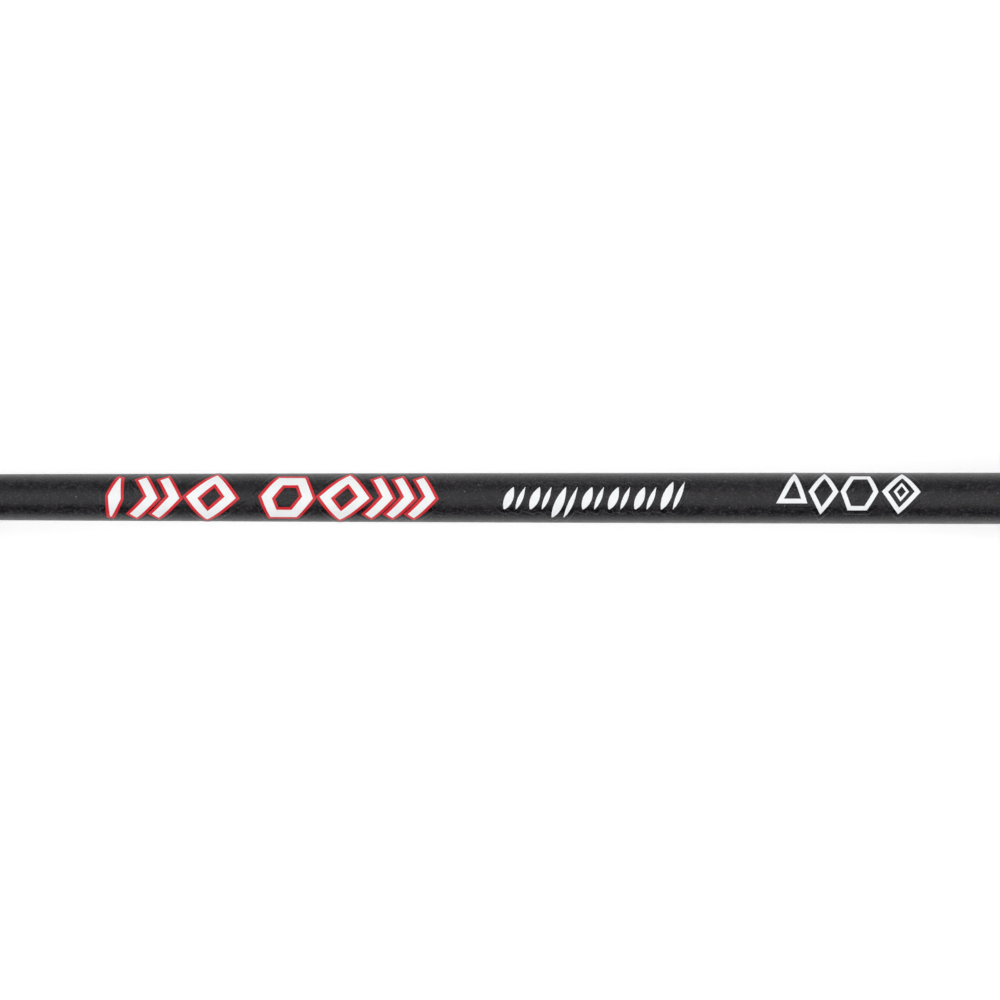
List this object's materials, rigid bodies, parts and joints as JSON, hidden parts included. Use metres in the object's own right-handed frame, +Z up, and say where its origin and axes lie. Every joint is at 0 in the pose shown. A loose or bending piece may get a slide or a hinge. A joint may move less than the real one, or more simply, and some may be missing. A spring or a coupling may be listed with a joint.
{
  "type": "ice fishing rod",
  "caption": "Short one-piece ice fishing rod: tapered black blank, foam grips, threaded reel seat with sliding hood and lock nut, ringed line guides and a tip guide.",
  "frame": {"origin": "centre of the butt cap's flat end face, on the rod's axis", "axes": "+X along the rod's axis out of the butt, so the tip points to -X; the guides and the reel foot are on the -Y side; +Z up, with the rod lying on its side on the handle and the first guide's rim"},
  "size_m": [0.5699, 0.045, 0.024],
  "materials": {
    "blank_lacquer": "satin black lacquer with a fine metallic fleck over a carbon tube",
    "foam": "fine-cell foam, matte",
    "butt_rubber": "moulded rubber, matte",
    "red_trim": "red anodised, turned",
    "seat_graphite": "moulded graphite-filled nylon, satin",
    "arbor": "foam-cored bushing, hidden",
    "hood_metal": "gunmetal, brushed",
    "nut_metal": "gunmetal anodised, fluted",
    "cushion": "moulded lining",
    "guide_metal": "polished gunmetal stainless steel",
    "guide_ceramic": "polished ceramic",
    "thread_wrap": "nylon winding thread under clear epoxy"
  },
  "bodies": {
    "rod": {"blank": "blank_lacquer", "butt_cap": "butt_rubber", "butt_ring": "red_trim", "rear_grip": "foam", "rear_ring": "red_trim", "front_ring": "red_trim", "foregrip": "foam", "winding_check": "red_trim", "seat_body": "seat_graphite", "thread_barrel": "seat_graphite", "seat_arbor_1": "arbor", "seat_arbor_2": "arbor", "seat_arbor_3": "arbor", "fixed_hood": "hood_metal", "fixed_hood_cushion": "cushion", "guide_1_frame": "guide_metal", "guide_1_ring": "guide_ceramic", "guide_1_wrap_front": "thread_wrap", "guide_1_wrap_rear": "thread_wrap", "guide_2_frame": "guide_metal", "guide_2_ring": "guide_ceramic", "guide_2_wrap_front": "thread_wrap", "guide_2_wrap_rear": "thread_wrap", "guide_3_frame": "guide_metal", "guide_3_ring": "guide_ceramic", "guide_3_wrap": "thread_wrap", "guide_4_frame": "guide_metal", "guide_4_ring": "guide_ceramic", "guide_4_wrap": "thread_wrap", "tip_top_frame": "guide_metal", "tip_top_ring": "guide_ceramic", "tip_top_wrap": "thread_wrap", "hook_keeper": "guide_metal", "keeper_wrap_rear": "thread_wrap", "keeper_wrap_front": "thread_wrap"},
    "hood": {"sliding_hood": "hood_metal", "sliding_hood_cushion": "cushion"},
    "nut": {"lock_nut": "nut_metal"}
  },
  "joints": [
    {"name": "hood_slide", "type": "slide", "parent": "rod", "child": "hood", "axis": [1, 0, 0], "range_m": [0, 0.024]},
    {"name": "nut_turn", "type": "hinge", "parent": "hood", "child": "nut", "pos_m": [-0.1741, 0, 0], "axis": [1, 0, 0], "range_deg": [0, 4320]}
  ],
  "couplings": [
    {"joint": "hood_slide", "follows": "nut_turn", "m_per_rad": 0.00031831}
  ]
}
